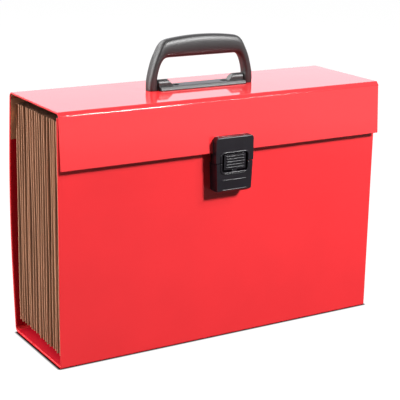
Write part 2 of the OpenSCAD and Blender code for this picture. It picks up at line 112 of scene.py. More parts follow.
class FileBoxCover(bpy.types.PropertyGroup):
    """Boards and creases of the cover"""

    edge_radius: FloatProperty(
        name="Edge radius", description="Rounding where the paper wraps a board's edge",
        default=0.55 * MM, unit="LENGTH")
    rear_fold: FloatProperty(
        name="Rear fold", description="Thickness of the folded cover between two boards",
        default=1.6 * MM, unit="LENGTH")
    toe_fold: FloatProperty(
        name="Toe fold", description="Thickness of the fold along the foot of the front",
        default=1.0 * MM, unit="LENGTH")
    bow: FloatProperty(
        name="Bow of the back", description="How far the back board bulges out at mid height",
        default=7.0 * MM, unit="LENGTH")
    flap_lean: FloatProperty(
        name="Flap lean", description="Angle at which the closed flap stands off the front",
        default=math.radians(3.6), subtype="ANGLE")
    lining_edge: FloatProperty(
        name="Lining margin", description="How far a lining stops inside its board's edge",
        default=1.0 * MM, unit="LENGTH")
    paper: FloatVectorProperty(
        name="Laminated paper", description="Colour of the glossy cover paper",
        default=paint("EC3439"), size=4, subtype="COLOR", min=0, max=1)
    turn_in: FloatVectorProperty(
        name="Turned-in paper", description="Colour of the matt red paper inside the cover",
        default=paint("C40B22"), size=4, subtype="COLOR", min=0, max=1)


class FileBoxPockets(bpy.types.PropertyGroup):
    """Concertina of index pockets"""

    card: FloatProperty(
        name="Card", description="Thickness of the gusset card",
        default=0.4 * MM, unit="LENGTH")
    uneven: FloatProperty(
        name="Unevenness", description="How far the gusset's folds stray from an even row",
        default=0.6 * MM, unit="LENGTH")
    sunken: FloatProperty(
        name="Sunken folds", description="How much further in a squeezed fold lies",
        default=0.9 * MM, unit="LENGTH")
    foot_rise: FloatProperty(
        name="Rise of the feet", description="How much higher the rear pleats end than the front",
        default=5.0 * MM, unit="LENGTH")
    slump: FloatProperty(
        name="Slump", description="How far the rearmost pleat leans off the back board",
        default=2.8 * MM, unit="LENGTH")
    # Width of the painted fold band: paler at the tip (wear and painted highlight), darker inside (painted shade)
    worn: FloatProperty(
        name="Worn folds", description="Half the depth over which a fold fades from pale to dark",
        default=1.1 * MM, unit="LENGTH")
    curl: FloatProperty(
        name="Curl", description="How far the free top of a divider curls",
        default=0.6 * MM, unit="LENGTH")
    tab_corner: FloatProperty(
        name="Tab corner", description="Radius of an index tab's corners",
        default=2.5 * MM, unit="LENGTH")
    seed: IntProperty(
        name="Seed", description="Picks one arrangement of the uneven folds", default=19)
    kraft: FloatVectorProperty(
        name="Kraft card", description="Colour of the uncoated card",
        default=paint("BE8B6B"), size=4, subtype="COLOR", min=0, max=1)


class FileBoxHandle(bpy.types.PropertyGroup):
    """Carrying handle"""

    squareness: FloatProperty(
        name="Squareness", description="2 gives a round bail, and more gives flatter faces",
        default=2.6, min=2, max=6)
    base_edge: FloatProperty(
        name="Base edges", description="Rounding of the moulded base's edges",
        default=0.45 * MM, unit="LENGTH")
    well: FloatProperty(
        name="Rivet well", description="Radius of the wells that the rivets sit in",
        default=4.2 * MM, unit="LENGTH")
    plastic: FloatVectorProperty(
        name="Black plastic", description="Colour of the moulded parts",
        default=paint("0B090B"), size=4, subtype="COLOR", min=0, max=1)
    metal: FloatVectorProperty(
        name="Steel", description="Colour of the plated steel",
        default=paint("C3C6C9"), size=4, subtype="COLOR", min=0, max=1)


class FileBoxLatch(bpy.types.PropertyGroup):
    """Latch"""

    corner: FloatProperty(
        name="Outer corners", description="Radius of the latch's outer corners",
        default=4.0 * MM, unit="LENGTH")
    bevel: FloatProperty(
        name="Foot bevel", description="Depth of the bevel at the foot",
        default=2.2 * MM, unit="LENGTH")
    taper: FloatProperty(
        name="Taper", description="How far each side comes in from the seam to the foot",
        default=1.4 * MM, unit="LENGTH")
    edge: FloatProperty(
        name="Edges", description="Rounding of the moulded edges",
        default=0.5 * MM, unit="LENGTH")
    rim: FloatProperty(
        name="Rim", description="Width of the raised rim round the window",
        default=2.0 * MM, unit="LENGTH")
    window: FloatVectorProperty(
        name="Window", description="Width and height of the window round the slider",
        default=(31 * MM, 19.5 * MM), size=2, unit="LENGTH")
    ribs: IntProperty(
        name="Ribs", description="Number of ribs across the slider", default=5, min=3, max=8)
    rib_height: FloatProperty(
        name="Rib height", description="How far a rib stands proud of the slider",
        default=0.9 * MM, unit="LENGTH")
    plastic: FloatVectorProperty(
        name="Latch plastic", description="Colour of the latch",
        default=paint("120E14"), size=4, subtype="COLOR", min=0, max=1)


class FileBoxStage(bpy.types.PropertyGroup):
    """Camera, lamps and floor"""

    azimuth: FloatProperty(
        name="Azimuth", description="Camera's angle round the box, from straight in front",
        default=math.radians(-31.12), subtype="ANGLE")
    elevation: FloatProperty(
        name="Elevation", description="Camera's angle above the floor",
        default=math.radians(15.89), subtype="ANGLE")
    roll: FloatProperty(
        name="Roll", description="Turn of the camera about its own axis",
        default=math.radians(0.993), subtype="ANGLE")
    distance: FloatProperty(
        name="Distance", description="Camera's distance from the point it looks at",
        default=1.3144, unit="LENGTH")
    aim: FloatVectorProperty(
        name="Aim", description="Point that the camera looks at",
        default=(-0.00132, -0.0075, 0.13947), size=3, subtype="TRANSLATION")
    focal_pixels: FloatProperty(
        name="Focal length", description="Focal length in pixels of the photograph",
        default=1206.0)
    key_watts: FloatProperty(
        name="Key lamp", description="Power of the small lamp right of the camera", default=57.5)
    fill_watts: FloatProperty(
        name="Fill lamp", description="Power of the soft lamp at the left", default=30.0)
    top_watts: FloatProperty(
        name="Top lamp", description="Power of the lamp high at the right", default=6.0)
    back_watts: FloatProperty(
        name="Back lamp", description="Power of the wide lamp that the lid mirrors", default=2.9)
    rear_watts: FloatProperty(
        name="Rear lamp", description="Power of the lamp behind the box", default=32.0)
    under_watts: FloatProperty(
        name="Lower lamp", description="Power of the lamp that lights the underside", default=9.0)
    ambient: FloatProperty(
        name="Ambient", description="Level of the soft light from all round", default=0.045)
    # The contact shadow is painted on the floor as a dark maroon line of this width
    contact: FloatProperty(
        name="Contact shadow", description="Width of the dark line on the floor round the base",
        default=0.0045, unit="LENGTH")


SETTINGS = {
    "file_box_cover": FileBoxCover,
    "file_box_pockets": FileBoxPockets,
    "file_box_handle": FileBoxHandle,
    "file_box_latch": FileBoxLatch,
    "file_box_stage": FileBoxStage,
}


def settings(name):
    """The scene's settings of one group."""
    return getattr(bpy.context.scene, "file_box_" + name)


# Finishes


def add_node(tree, kind, inputs=None, **options):
    """Adds a node with its settings. An input is a value, a socket that feeds it, or a node
    whose first live output feeds it."""
    node = tree.nodes.new("ShaderNode" + kind)
    for name, value in options.items():
        setattr(node, name, value)
    for name, value in (inputs or {}).items():
        if isinstance(value, bpy.types.Node):
            value = next(output for output in value.outputs if output.enabled)
        if isinstance(value, bpy.types.NodeSocket):
            tree.links.new(value, node.inputs[name])
        else:
            node.inputs[name].default_value = value
    return node


def emptied(owner):
    """The node tree of a material or a world, with nothing in it."""
    owner.use_nodes = True
    owner.node_tree.nodes.clear()
    return owner.node_tree


def per(size):
    """Scale of a pattern whose features have a size in metres."""
    return 1 / size


def times(colour, factor, lift=0.0):
    """A paler or darker colour."""
    return (*(min(1.0, factor * part + lift) for part in colour[:3]), 1.0)


def gloss_laminated_paper(tree, place, colour):
    """Printed cover paper under a gloss polypropylene film, glued round board.

    The film gives clear reflections over a saturated red. The board's grain shows through as a
    faint orange peel, and the panels are a little wavy.
    """
    tone = add_node(tree, "TexNoise", {"Vector": place, "Scale": per(70 * MM), "Detail": 4.0})
    shade = add_node(tree, "Mix", {0: tone, 6: colour, 7: times(colour, 0.86)}, data_type="RGBA")
    rough = add_node(tree, "MapRange", {"Value": tone, "To Min": 0.24, "To Max": 0.38})
    peel = add_node(tree, "TexNoise", {"Vector": place, "Scale": per(2.2 * MM), "Detail": 2.0})
    fine = add_node(tree, "Bump", {"Height": peel, "Strength": 0.12, "Distance": 0.04 * MM})
    waves = add_node(tree, "TexNoise", {"Vector": place, "Scale": per(45 * MM), "Detail": 1.0})
    broad = add_node(
        tree, "Bump", {"Height": waves, "Normal": fine, "Strength": 0.5, "Distance": 0.12 * MM})
    return {
        "Base Color": shade, "Roughness": rough, "Specular IOR Level": 0.0, "Coat Weight": 1.0,
        "Coat Roughness": 0.07, "Coat IOR": 1.5, "Normal": broad, "Coat Normal": broad}


def matt_red_paper(tree, place, colour):
    """Uncoated red lining paper, with a soft tooth and no clear reflections."""
    tooth = add_node(tree, "TexNoise", {"Vector": place, "Scale": per(1.4 * MM), "Detail": 5.0})
    shade = add_node(tree, "Mix", {0: tooth, 6: colour, 7: times(colour, 0.75)}, data_type="RGBA")
    bump = add_node(tree, "Bump", {"Height": tooth, "Strength": 0.4, "Distance": 0.05 * MM})
    return {
        "Base Color": shade, "Roughness": 0.7, "IOR": 1.45, "Specular IOR Level": 0.15,
        "Normal": bump}


def kraft_card(tree, place, colour):
    """Uncoated kraft card: a matt brown with long fibres, cloudy patches and dark flecks.

    The attribute "fold" is 1 along a fold, where the card is paler: partly wear, partly a painted
    highlight where the tip catches the light. It is -1 down inside a pleat, where the card is
    darker as painted shade.
    """
    dark, pleat_shade_tint, pale = times(colour, 0.52), times(colour, 0.2), times(colour, 1.45, 0.05)
    grain = add_node(tree, "Mapping", {"Vector": place, "Scale": (1.0, 1.0, 0.12)})
    fibres = add_node(
        tree, "TexNoise",
        {"Vector": grain, "Scale": per(1.3 * MM), "Detail": 6.0, "Roughness": 0.65})
    clouds = add_node(tree, "TexNoise", {"Vector": place, "Scale": per(11 * MM), "Detail": 5.0})
    flecks = add_node(tree, "TexNoise", {"Vector": place, "Scale": per(1.6 * MM), "Detail": 2.0})
    speck = add_node(
        tree, "MapRange", {"Value": flecks, "From Min": 0.66, "From Max": 0.74, "To Max": 0.55})
    # Painted light on the pleats: paler along a fold (wear and painted highlight), darker down inside a pleat
    # (painted shade)
    fold = add_node(tree, "Attribute", attribute_name="fold").outputs["Fac"]
    worn = add_node(tree, "MapRange", {"Value": fold, "To Max": 0.8})
    painted_pleat_shade = add_node(tree, "MapRange", {"Value": fold, "From Max": -1.0, "To Max": 0.85})
    shade = add_node(tree, "Mix", {0: fibres, 6: pale, 7: dark}, data_type="RGBA")
    for amount, over in ((clouds, colour), (speck, dark), (worn, pale), (painted_pleat_shade, pleat_shade_tint)):
        shade = add_node(tree, "Mix", {0: amount, 6: shade, 7: over}, data_type="RGBA")
    bump = add_node(tree, "Bump", {"Height": fibres, "Strength": 0.5, "Distance": 0.12 * MM})
    return {"Base Color": shade, "Roughness": 0.88, "IOR": 1.4, "Normal": bump}


def grained_black_plastic(tree, place, colour):
    """Injection-moulded ABS with an etched grain: a dark body and a broad, speckled sheen.

    The real grain is about 0.3 mm. It is drawn at 0.9 mm so that it shows at this distance.
    """
    grain = add_node(
        tree, "TexNoise",
        {"Vector": place, "Scale": per(0.9 * MM), "Detail": 3.0, "Roughness": 0.6})
    rub = add_node(tree, "TexNoise", {"Vector": place, "Scale": per(18 * MM), "Detail": 3.0})
    shade = add_node(tree, "Mix", {0: grain, 6: colour, 7: times(colour, 1.9)}, data_type="RGBA")
    rough = add_node(tree, "MapRange", {"Value": rub, "To Min": 0.4, "To Max": 0.5})
    bump = add_node(tree, "Bump", {"Height": grain, "Strength": 0.8, "Distance": 0.25 * MM})
    return {
        "Base Color": shade, "Roughness": rough, "IOR": 1.52, "Specular IOR Level": 0.75,
        "Normal": bump}


def smooth_black_plastic(tree, place, colour):
    """Injection-moulded ABS from a polished mould: near black, with soft bright lines along its
    edges and a little handling haze."""
    haze = add_node(tree, "TexNoise", {"Vector": place, "Scale": per(9 * MM), "Detail": 4.0})
    ripple = add_node(tree, "TexNoise", {"Vector": place, "Scale": per(1.6 * MM), "Detail": 2.0})
    shade = add_node(tree, "Mix", {0: haze, 6: colour, 7: times(colour, 1.5)}, data_type="RGBA")
    rough = add_node(tree, "MapRange", {"Value": haze, "To Min": 0.25, "To Max": 0.37})
    bump = add_node(tree, "Bump", {"Height": ripple, "Strength": 0.2, "Distance": 0.05 * MM})
    return {
        "Base Color": shade, "Roughness": rough, "IOR": 1.5, "Specular IOR Level": 0.5,
        "Normal": bump}


def zinc_plated_steel(tree, place, colour):
    """Bright zinc plate on pressed steel: a grey metal with faint rolling lines."""
    lines = add_node(tree, "Mapping", {"Vector": place, "Scale": (0.08, 1.0, 1.0)})
    rolled = add_node(tree, "TexNoise", {"Vector": lines, "Scale": per(0.5 * MM), "Detail": 3.0})
    shade = add_node(tree, "Mix", {0: rolled, 6: colour, 7: times(colour, 0.7)}, data_type="RGBA")
    rough = add_node(tree, "MapRange", {"Value": rolled, "To Min": 0.22, "To Max": 0.42})
    return {"Base Color": shade, "Roughness": rough, "Metallic": 1.0}


# Finish, group of settings and colour for each slot, and for the latch
FINISHES = {
    "red_board": (gloss_laminated_paper, "cover", "paper"),
    "red_paper": (matt_red_paper, "cover", "turn_in"),
    "kraft_card": (kraft_card, "pockets", "kraft"),
    "black_plastic": (grained_black_plastic, "handle", "plastic"),
    "latch": (smooth_black_plastic, "latch", "plastic"),
    "steel": (zinc_plated_steel, "handle", "metal"),
}
made_finishes = {}


def finish_for(use):
    """The material of a slot or of the latch, made once."""
    if use not in made_finishes:
        look, group, colour = FINISHES[use]
        finish = bpy.data.materials.new(look.__name__)
        tree = emptied(finish)
        place = add_node(tree, "TexCoord").outputs["Object"]
        inputs = look(tree, place, tuple(getattr(settings(group), colour)))
        shader = add_node(tree, "BsdfPrincipled", inputs)
        add_node(tree, "OutputMaterial", {"Surface": shader})
        made_finishes[use] = finish
    return made_finishes[use]


# Mesh helpers


def grid(bm, columns, rows, place):
    """A grid of cells whose corners go to place(column, row). Returns its corners."""
    made = bmesh.ops.create_grid(bm, x_segments=columns, y_segments=rows, size=0.5)["verts"]
    for vert in made:
        vert.co = place(round((vert.co.x + 0.5) * columns), round((vert.co.y + 0.5) * rows))
    return made


def draw_out(bm, corners, step):
    """A bar: a face with these corners, drawn out by a step."""
    face = bm.faces.new([bm.verts.new(corner) for corner in corners])
    grown = bmesh.ops.extrude_face_region(bm, geom=[face], use_keep_orig=True)["geom"]
    bmesh.ops.translate(
        bm, vec=step, verts=[part for part in grown if isinstance(part, bmesh.types.BMVert)])
    bmesh.ops.recalc_face_normals(bm, faces=bm.faces[:])


def plate(outline, front, back):
    """A plate with an outline in X and Z, from one Y to another."""
    bm = bmesh.new()
    draw_out(bm, [(x, front, z) for x, z in outline], (0, back - front, 0))
    return bm


def rounded(corners, steps=6):
    """Points of a closed outline whose corners are (across, up, radius)."""
    points = []
    for i, (across, up, radius) in enumerate(corners):
        here = Vector((across, up))
        before = (Vector(corners[i - 1][:2]) - here).normalized()
        after = (Vector(corners[(i + 1) % len(corners)][:2]) - here).normalized()
        if not radius:
            points.append(here)
            continue
        half = before.angle(after) / 2
        centre = here + (before + after).normalized() * radius / math.sin(half)
        first = here + before * radius / math.tan(half) - centre
        last = here + after * radius / math.tan(half) - centre
        for step in range(steps + 1):
            points.append(centre + first.lerp(last, step / steps).normalized() * radius)
    return points


def arc(centre, radius, start, end, steps):
    """Points of an arc, from one angle to another in degrees."""
    angles = [math.radians(start + (end - start) * i / steps) for i in range(steps + 1)]
    return [
        (centre[0] + radius * math.cos(a), centre[1] + radius * math.sin(a)) for a in angles]


def thicken(bm, depth, inside=INSIDE):
    """Gives a sheet its thickness, on the side that looks towards a point."""
    bm.normal_update()
    facing = sum((face.calc_center_median() - inside).dot(face.normal) for face in bm.faces)
    if facing < 0:
        bmesh.ops.reverse_faces(bm, faces=bm.faces[:])
    bm.normal_update()
    bmesh.ops.solidify(bm, geom=bm.faces[:], thickness=depth)


def soften(bm, radius, segments=2, sharper=math.radians(40), where=lambda edge: True):
    """Rounds the sharp edges of a closed shape."""
    bm.normal_update()
    sharp = [
        edge for edge in bm.edges
        if edge.is_manifold and edge.calc_face_angle(0) > sharper and where(edge)
    ]
    bmesh.ops.bevel(
        bm, geom=sharp, offset=radius, segments=segments, profile=0.5, affect="EDGES",
        material=-1, clamp_overlap=True)


def cut_away(bm, point, normal):
    """Cuts off what lies beyond a plane and closes the cut."""
    geometry = bm.verts[:] + bm.edges[:] + bm.faces[:]
    cut = bmesh.ops.bisect_plane(
        bm, geom=geometry, plane_co=point, plane_no=normal, clear_outer=True)["geom_cut"]
    rim = [part for part in cut if isinstance(part, bmesh.types.BMEdge) and part.is_boundary]
    bmesh.ops.holes_fill(bm, edges=rim)
    bmesh.ops.recalc_face_normals(bm, faces=bm.faces[:])


def mesh_of(name, bm):
    """A mesh of what a bmesh holds."""
    mesh = bpy.data.meshes.new(name)
    bm.to_mesh(mesh)
    bm.free()
    return mesh


def join(bm, part):
    """Adds the closed shape of one bmesh to another."""
    mesh = mesh_of("part", part)
    bm.from_mesh(mesh)
    bpy.data.meshes.remove(mesh)


def add_bar(bm, across, depth, height, edge):
    """Adds a softened bar that runs from low to high in X, Y and Z."""
    low, high = (Vector(corner) for corner in zip(across, depth, height))
    part = bmesh.new()
    made = bmesh.ops.create_cube(part, size=1)["verts"]
    bmesh.ops.scale(part, vec=high - low, verts=made)
    bmesh.ops.translate(part, vec=(low + high) / 2, verts=made)
    soften(part, edge, 3)
    join(bm, part)


def put_in_scene(name, data):
    """An object that holds a mesh, a lamp or a camera."""
    made = bpy.data.objects.new(name, data)
    bpy.context.scene.collection.objects.link(made)
    return made


def add_piece(name, bm, slot, body=None, replaced=(), finish=None, crisp=math.radians(38)):
    """Makes a finished piece of a mesh, and lets it ride on a body of the frame."""
    bmesh.ops.remove_doubles(bm, verts=bm.verts[:], dist=WELD)
    bmesh.ops.recalc_face_normals(bm, faces=bm.faces[:])
    mesh = mesh_of(name, bm)
    mesh.shade_smooth()
    mesh.set_sharp_from_angle(angle=crisp)
    mesh.materials.append(finish_for(finish or slot))
    piece = put_in_scene(name, mesh)
    piece.modifiers.new("even_shading", "WEIGHTED_NORMAL").keep_sharp = True
    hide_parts(*replaced)
    if body:
        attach(piece, body)
    return piece


# Cover


def bow_at(height):
    """How far the back board bulges out at a height."""
    share = (height - BACK_LOW.z) / (BACK_HIGH.z - BACK_LOW.z)
    return settings("cover").bow * math.sin(math.pi * min(max(share, 0), 1))


def flap_point(drop, depth):
    """A point of the closed flap in Y and Z, below its top edge and in from its outer face."""
    lean = settings("cover").flap_lean
    top = (LID_LOW.y - (LID_HIGH.z - FLAP_HIGH.z), FLAP_HIGH.z)
    return (
        top[0] + depth * math.cos(lean) - drop * math.sin(lean),
        top[1] - depth * math.sin(lean) - drop * math.cos(lean),
    )


def flap_length():
    """Length of the flap board down its outer face."""
    lean = settings("cover").flap_lean
    return (FLAP_HIGH.z - FLAP_LOW.z - BOARD * math.sin(lean)) / math.cos(lean)


def cover_strip(name, profile, thickness, wrapped_ends=(False, False), body=None, replaced=(),
                slot="red_board", half=HALF_WIDTH):
    """A board or fold of the cover: an outline in Y and Z, drawn out along X and thickened.

    wrapped_ends says whether the first and the last end are wrapped edges. The others join a
    neighbour and stay square.
    """
    bm = bmesh.new()
    grid(bm, 1, len(profile) - 1, lambda i, j: Vector((half * (2 * i - 1), *profile[j])))
    thicken(bm, thickness)
    ends = []
    for end, beside in ((0, 1), (-1, -2)):
        point = Vector(profile[end])
        ends.append((point, (point - Vector(profile[beside])).normalized()))

    def lies_in(edge, point, tangent):
        offsets = [vert.co.yz - point for vert in edge.verts]
        return all(
            abs(offset.dot(tangent)) < WELD * 10 and offset.length < 2 * thickness
            for offset in offsets)

    def is_wrapped(edge):
        touched = [wrapped for wrapped, end in zip(wrapped_ends, ends) if lies_in(edge, *end)]
        if touched:
            return all(touched)
        return all(abs(abs(vert.co.x) - half) < WELD for vert in edge.verts)

    soften(bm, min(settings("cover").edge_radius, 0.45 * thickness), 3, where=is_wrapped)
    return add_piece(name, bm, slot, body, replaced)


class FILEBOX_OT_cover(bpy.types.Operator):
    """Build the wrapped boards of the cover"""

    bl_idname = "file_box.cover"
    bl_label = "Cover boards"

    # Rows of the bowed back board
    ROWS = 24

    def execute(self, context):
        crease = BACK_LOW.z
        turn = arc((BACK_FACE - crease, crease), crease, -90, 0, 8)
        rise = [crease + (BACK_HIGH.z - crease) * i / self.ROWS for i in range(1, self.ROWS + 1)]
        back = [(BACK_FACE + bow_at(z), z) for z in rise]
        cover_strip(
            "back_and_base_board", [(BASE_LOW.y, 0.0), *turn, *back], BOARD, body="case",
            replaced=("back_panel", "base_panel", "rear_bottom_crease"))
        cover_strip(
            "front_board", [(FRONT_LOW.y, FRONT_LOW.z), (FRONT_LOW.y, FRONT_HIGH.z)], BOARD,
            (False, True), "front", ("front_panel",))
        cover_strip(
            "lid_board", [(LID_LOW.y, LID_HIGH.z), (LID_HIGH.y, LID_HIGH.z)], BOARD,
            body="lid", replaced=("lid_panel",))
        cover_strip(
            "flap_board", [flap_point(0, 0), flap_point(flap_length(), 0)], BOARD,
            (False, True), "flap", ("flap_panel",))
        return {"FINISHED"}


class FILEBOX_OT_creases(bpy.types.Operator):
    """Build the folds of the cover, which bend between two boards"""

    bl_idname = "file_box.creases"
    bl_label = "Creases"

    # How far to each side of its hinge a fold bends; nothing reads it, as the folds are built unbent
    REACH = 1.8 * MM
    # The front fold's two corners: how far from its boards, and how round
    UPPER, UPPER_RADIUS, LOWER, LOWER_RADIUS = 0.9 * MM, 1.2 * MM, 0.7 * MM, 1.5 * MM
    # The toe's outer radius, and the run of its bend, which nothing reads
    TOE_RADIUS, TOE_BEND = 2.1 * MM, 1.6 * MM

    def bend(self, pieces, joint, first, second, upwards):
        """Bakes each piece's place into its mesh; the pieces do not bend. The joint, the two bodies and
        the direction up or down are not used.
        """
        for piece in pieces:
            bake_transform(piece)

    def execute(self, context):
        cover = settings("cover")
        lining = {"slot": "kraft_card", "half": HALF_WIDTH - cover.lining_edge}
        hinge = (LID_HIGH.y, BACK_HIGH.z)
        radius = LID_HIGH.z - BACK_HIGH.z
        inner = radius - cover.rear_fold - 2 * PAPER
        rear = cover_strip(
            "rear_top_fold", arc(hinge, radius, 0, 90, 10), cover.rear_fold,
            replaced=("rear_top_crease",))
        rear_lining = cover_strip(
            "rear_fold_lining", arc(hinge, inner, 0, 90, 8), PAPER, **lining)
        self.bend((rear, rear_lining), "lid_hinge", "case", "lid", 1)

        top, face = LID_HIGH.z, flap_point(0, 0)
        band = rounded(
            [(LID_LOW.y, top, 0), (LID_LOW.y - self.UPPER, top, self.UPPER_RADIUS),
             (face[0], face[1] + self.LOWER, self.LOWER_RADIUS), (*face, 0)], 5)
        front = cover_strip(
            "front_top_fold", band, cover.rear_fold, replaced=("front_top_crease",))
        under = LID_LOW.z - PAPER
        front_lining = cover_strip(
            "front_fold_lining",
            [(LID_LOW.y + cover.lining_edge, under), (LID_LOW.y, under),
             flap_point(0, BOARD + PAPER), flap_point(cover.lining_edge, BOARD + PAPER)],
            PAPER, **lining)
        self.bend((front, front_lining), "flap_hinge", "lid", "flap", -1)

        toe_y = FRONT_LOW.y
        under_toe = rounded(
            [(BASE_LOW.y, 0, 0), (toe_y, 0, self.TOE_RADIUS), (toe_y, FRONT_LOW.z, 0)])
        toe = cover_strip(
            "toe_fold", under_toe, cover.toe_fold, replaced=("front_bottom_crease",))
        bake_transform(toe)
        return {"FINISHED"}


class FILEBOX_OT_linings(bpy.types.Operator):
    """Build the lining papers glued inside the cover"""

    bl_idname = "file_box.linings"
    bl_label = "Linings"

    COLUMNS = 24

    def sheet(self, name, node, slot, body, rows, path):
        """A thin sheet as wide as its node. path(low, high, share) gives its glued face in Y and
        Z, a share of the way along the node's box."""
        low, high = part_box(node)
        bm = bmesh.new()
        grid(bm, self.COLUMNS, rows, lambda i, j: Vector(
            (low.x + (high.x - low.x) * (i / self.COLUMNS), *path(low, high, j / rows))))
        thicken(bm, PAPER)
        add_piece(name, bm, slot, body, (node,))

    def execute(self, context):
        def up_the_back(low, high, share):
            z = low.z + (high.z - low.z) * share
            return BACK_LOW.y + bow_at(z), z

        def up_the_front(low, high, share):
            return FRONT_HIGH.y, low.z + (high.z - low.z) * share

        def on_the_base(low, high, share):
            return low.y + (high.y - low.y) * share, BASE_HIGH.z

        def under_the_lid(low, high, share):
            return low.y + (high.y - low.y) * share, LID_LOW.z

        def down_the_flap(low, high, share):
            edge = settings("cover").lining_edge
            return flap_point(edge + (flap_length() - 2 * edge) * share, BOARD)

        for sheet in (
                ("lining_back_top", "back_lining", "kraft_card", "case", 12, up_the_back),
                ("lining_back", "back_turn_in", "red_paper", "case", 24, up_the_back),
                ("lining_base", "base_lining", "red_paper", "case", 12, on_the_base),
                ("lining_front", "front_lining", "red_paper", "front", 12, up_the_front),
                ("lining_lid", "lid_lining", "kraft_card", "lid", 12, under_the_lid),
                ("lining_flap", "flap_lining", "kraft_card", "flap", 12, down_the_flap)):
            self.sheet(*sheet)
        return {"FINISHED"}


# Concertina


def fold_y(k):
    """Where the k-th inner fold of the gussets lies; 0 is at the back, the last at the front."""
    middles = [(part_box(node)[0].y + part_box(node)[1].y) / 2 for node in DIVIDERS[:2]]
    return GUSSET_LOW.y if k == POCKETS else middles[0] - (k - 1) * (middles[0] - middles[1])


class FILEBOX_OT_leaves(bpy.types.Operator):
    """Build the dividers with their index tabs, and the leaves glued to the boards"""

    bl_idname = "file_box.leaves"
    bl_label = "Dividers and leaves"

    COLUMNS, ROWS = 16, 12
    # How near to a tab's side no other column of corners lies
    CLEAR = 6 * MM
    # Radians of the curl's wave from the middle of a leaf to its side
    WAVE = 2.2

    def leaf(self, name, node, body, bend, tab=()):
        """A leaf of card. A divider has a tab: its left, its right and the shoulder beside it."""
        low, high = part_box(node)
        left, right, shoulder = tab or (0, 0, high.z)

        def off_tab(x):
            return min(abs(x - left), abs(x - right))

        xs = [GUSSET_LOW.x * (2 * i / self.COLUMNS - 1) for i in range(self.COLUMNS + 1)]
        zs = [low.z + (shoulder - low.z) * j / self.ROWS for j in range(self.ROWS + 1)]
        if tab:
            xs = sorted([left, right, *(x for x in xs if off_tab(x) > self.CLEAR)])
            zs.append(high.z)
        middle = low.y + PAPER / 2
        bm = bmesh.new()
        grid(bm, len(xs) - 1, len(zs) - 1, lambda i, j: Vector((xs[i], middle, zs[j])))
        if tab:
            centres = {face: face.calc_center_median() for face in bm.faces}
            beside = [
                face for face, at in centres.items()
                if at.z > shoulder and not left < at.x < right]
            bmesh.ops.delete(bm, geom=beside, context="FACES")
            tips = [
                vert for vert in bm.verts
                if vert.co.z > high.z - WELD and off_tab(vert.co.x) < WELD]
            bmesh.ops.bevel(
                bm, geom=tips, offset=settings("pockets").tab_corner, segments=5, profile=0.5,
                affect="VERTICES", material=-1)
        for vert in bm.verts:
            vert.co.y += bend(vert.co)
        thicken(bm, PAPER, inside=Vector((0, 1, middle)))
        add_piece("leaf_" + name, bm, "kraft_card", body, (node,))

    def execute(self, context):
        pockets = settings("pockets")
        chance = random.Random(pockets.seed)
        foot = DIVIDER_LOW.z
        for node in DIVIDERS:
            corners = [vert.co for vert in frame["nodes"][node].data.vertices]
            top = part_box(node)[1].z
            sides = [co for co in corners if abs(abs(co.x) - DIVIDER_HIGH.x) < WELD * 10]
            shoulder = max(co.z for co in sides)
            edges = [co.x for co in corners if co.z > shoulder + 1 * MM]
            amount = pockets.curl * chance.uniform(-1, 1)

            def curl(co):
                rise = (co.z - foot) / (top - foot)
                return amount * rise ** 3 * math.cos(self.WAVE * co.x / GUSSET_LOW.x)

            self.leaf(node, node, node, curl, (min(edges), max(edges), shoulder))
        self.leaf("back", "back_leaf", "case", lambda co: bow_at(co.z))
        self.leaf("front", "front_leaf", "front", lambda co: 0.0)
        return {"FINISHED"}


